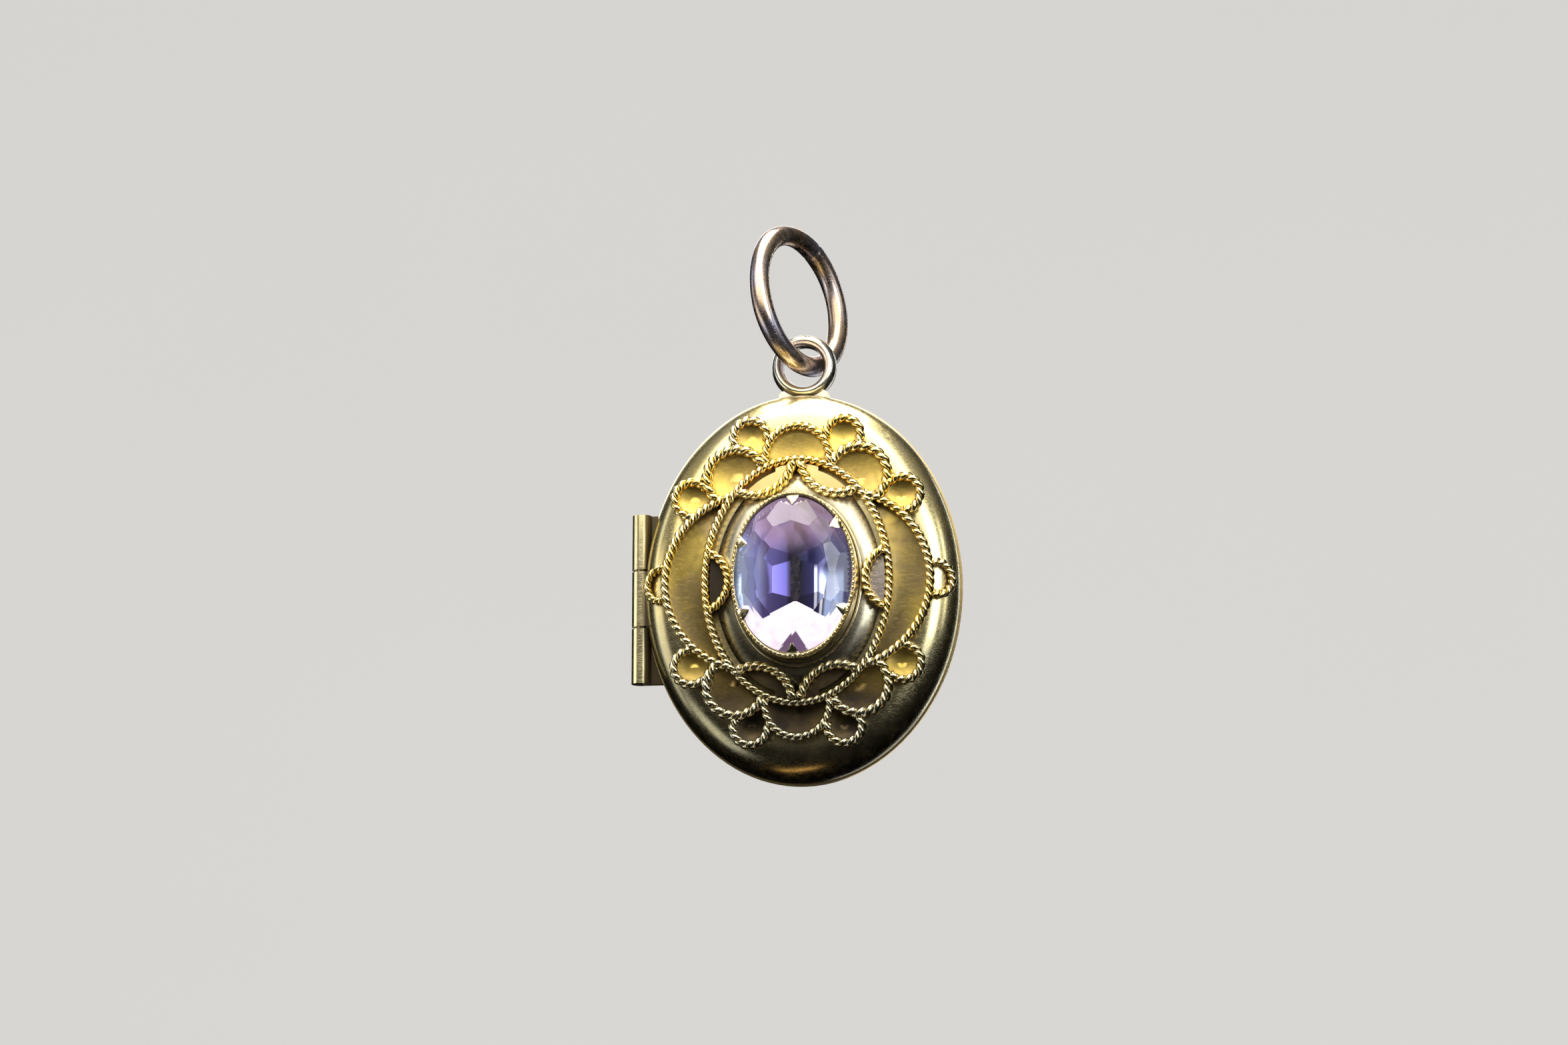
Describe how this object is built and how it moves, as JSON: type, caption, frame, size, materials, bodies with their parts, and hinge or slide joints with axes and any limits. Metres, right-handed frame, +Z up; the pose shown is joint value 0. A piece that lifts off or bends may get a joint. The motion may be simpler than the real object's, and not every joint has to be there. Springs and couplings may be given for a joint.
{
  "type": "locket",
  "caption": "Oval hinged locket pendant with rope-wire filigree, a claw-set oval stone, a ring bail and a jump ring.",
  "frame": {"origin": "centre of the flat back, on its outer face", "axes": "+Z up the face towards the bail, -Y out of the face, +X to the right of the face, away from the hinge"},
  "size_m": [0.0171, 0.0088, 0.0296],
  "materials": {
    "case_gold": "polished",
    "rim_gold": "satin",
    "rope_gold": "polished",
    "tray_gold": "satin",
    "boss_gold": "satin",
    "bezel_gold": "polished",
    "hinge_gold": "satin",
    "bail_gold": "polished",
    "ring_rose": "satin",
    "stone": "polished",
    "glazing": "polished",
    "card": "matte"
  },
  "bodies": {
    "back_half": {"back_cover": "case_gold", "back_rim": "rim_gold", "back_frame_ring": "rim_gold", "back_glazing": "glazing", "back_photo_card": "card", "back_hinge_knuckles": "hinge_gold", "hinge_pin": "hinge_gold", "bail_ring": "bail_gold", "bail_foot": "bail_gold"},
    "front_half": {"front_cover": "case_gold", "front_rim": "rim_gold", "centre_boss": "boss_gold", "bezel": "bezel_gold", "bezel_base_wire": "rope_gold", "oval_stone": "stone", "oval_strip": "tray_gold", "oval_rope_wire": "rope_gold", "leaf_trays": "tray_gold", "leaf_rope_wires": "rope_gold", "side_petal_trays": "tray_gold", "side_petal_rope_wires": "rope_gold", "crescent_trays": "tray_gold", "crescent_rope_wires": "rope_gold", "centre_scallop_trays": "tray_gold", "centre_scallop_rope_wires": "rope_gold", "side_scallop_trays": "tray_gold", "side_scallop_rope_wires": "rope_gold", "small_loop_trays": "tray_gold", "small_loop_rope_wires": "rope_gold", "edge_loop_trays": "tray_gold", "edge_loop_rope_wires": "rope_gold", "front_frame_ring": "rim_gold", "front_glazing": "glazing", "front_photo_card": "card", "front_hinge_knuckle": "hinge_gold"},
    "jump_ring": {"jump_ring": "ring_rose"}
  },
  "joints": [
    {"name": "cover_hinge", "type": "hinge", "parent": "back_half", "child": "front_half", "pos_m": [-0.00838, -0.0021, -0.00035], "axis": [0, 0, -1], "range_deg": [0, 175]},
    {"name": "jump_ring_swing", "type": "hinge", "parent": "back_half", "child": "jump_ring", "pos_m": [0, -0.00155, 0.0132], "axis": [0.8844, -0.454, 0.1086], "range_deg": [-40, 40]}
  ]
}
